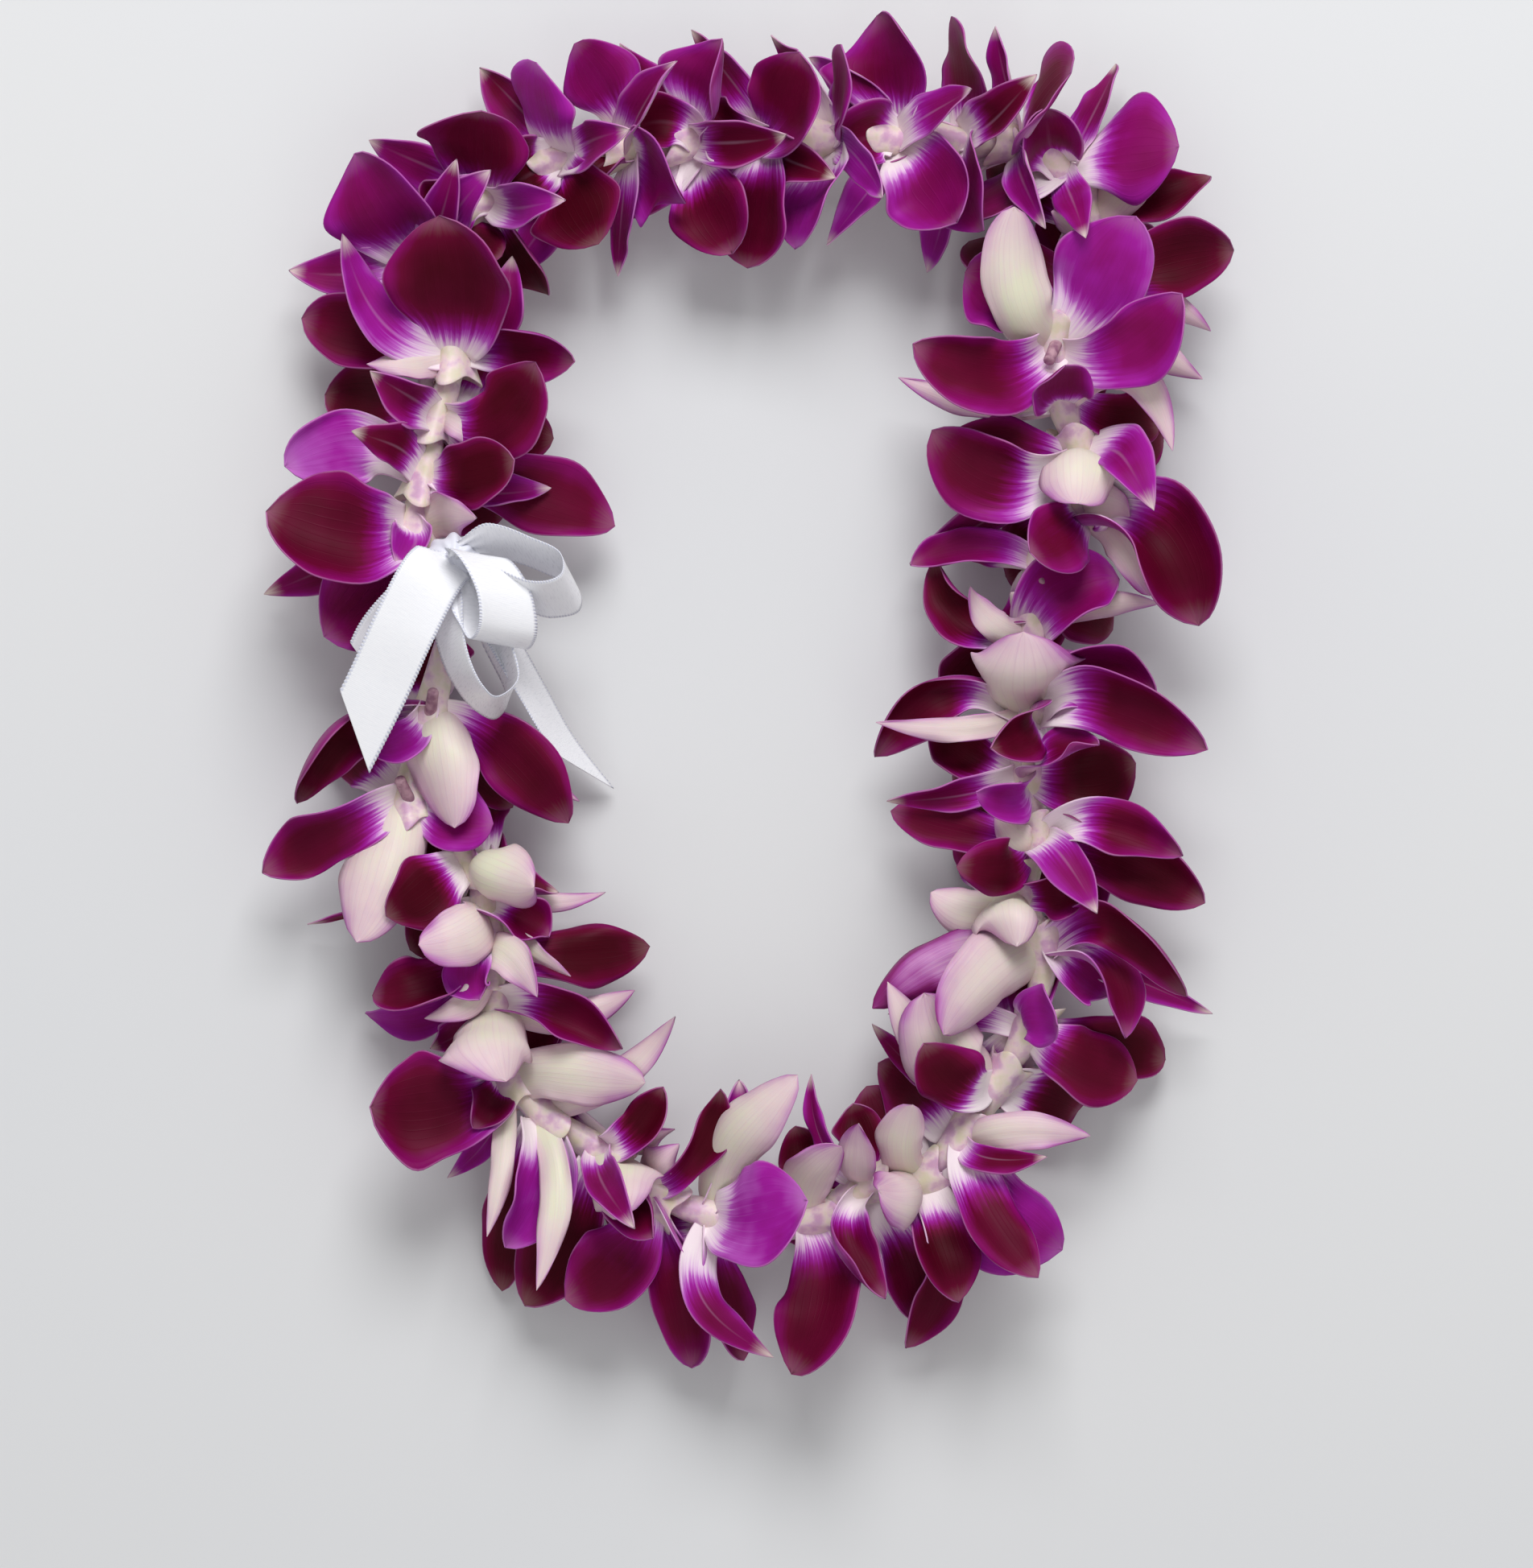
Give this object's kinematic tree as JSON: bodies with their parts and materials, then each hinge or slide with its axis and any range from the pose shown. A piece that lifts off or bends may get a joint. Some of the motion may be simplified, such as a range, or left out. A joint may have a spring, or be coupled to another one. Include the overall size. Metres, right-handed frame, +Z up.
{
  "type": "fresh flower lei",
  "caption": "Single-strand orchid lei lying flat in a closed loop, blooms strung on a thread, with a satin bow tied on one side.",
  "frame": {"origin": "on the surface the lei lies on, under the middle of its bounding box", "axes": "+Z up off the surface, +Y along the loop toward its closed arch, +X to the right seen from above"},
  "size_m": [0.2898, 0.404, 0.0637],
  "materials": {
    "petals": "satin",
    "ribbon": "glossy satin",
    "thread": "matte"
  },
  "bodies": {
    "root": {"lei_thread": "thread", "ribbon_bow": "ribbon", "bloom_01": "petals", "bloom_02": "petals", "bloom_03": "petals", "bloom_04": "petals", "bloom_05": "petals", "bloom_06": "petals", "bloom_07": "petals", "bloom_08": "petals", "bloom_09": "petals", "bloom_10": "petals", "bloom_11": "petals", "bloom_12": "petals", "bloom_13": "petals", "bloom_14": "petals", "bloom_15": "petals", "bloom_16": "petals", "bloom_17": "petals", "bloom_18": "petals", "bloom_19": "petals", "bloom_20": "petals", "bloom_21": "petals", "bloom_22": "petals", "bloom_23": "petals", "bloom_24": "petals", "bloom_25": "petals", "bloom_26": "petals", "bloom_27": "petals", "bloom_28": "petals", "bloom_29": "petals", "bloom_30": "petals", "bloom_31": "petals", "bloom_32": "petals", "bloom_33": "petals", "bloom_34": "petals", "bloom_35": "petals", "bloom_36": "petals", "bloom_37": "petals", "bloom_38": "petals", "bloom_39": "petals", "bloom_40": "petals", "bloom_41": "petals", "bloom_42": "petals", "bloom_43": "petals", "bloom_44": "petals", "bloom_45": "petals"}
  },
  "joints": []
}
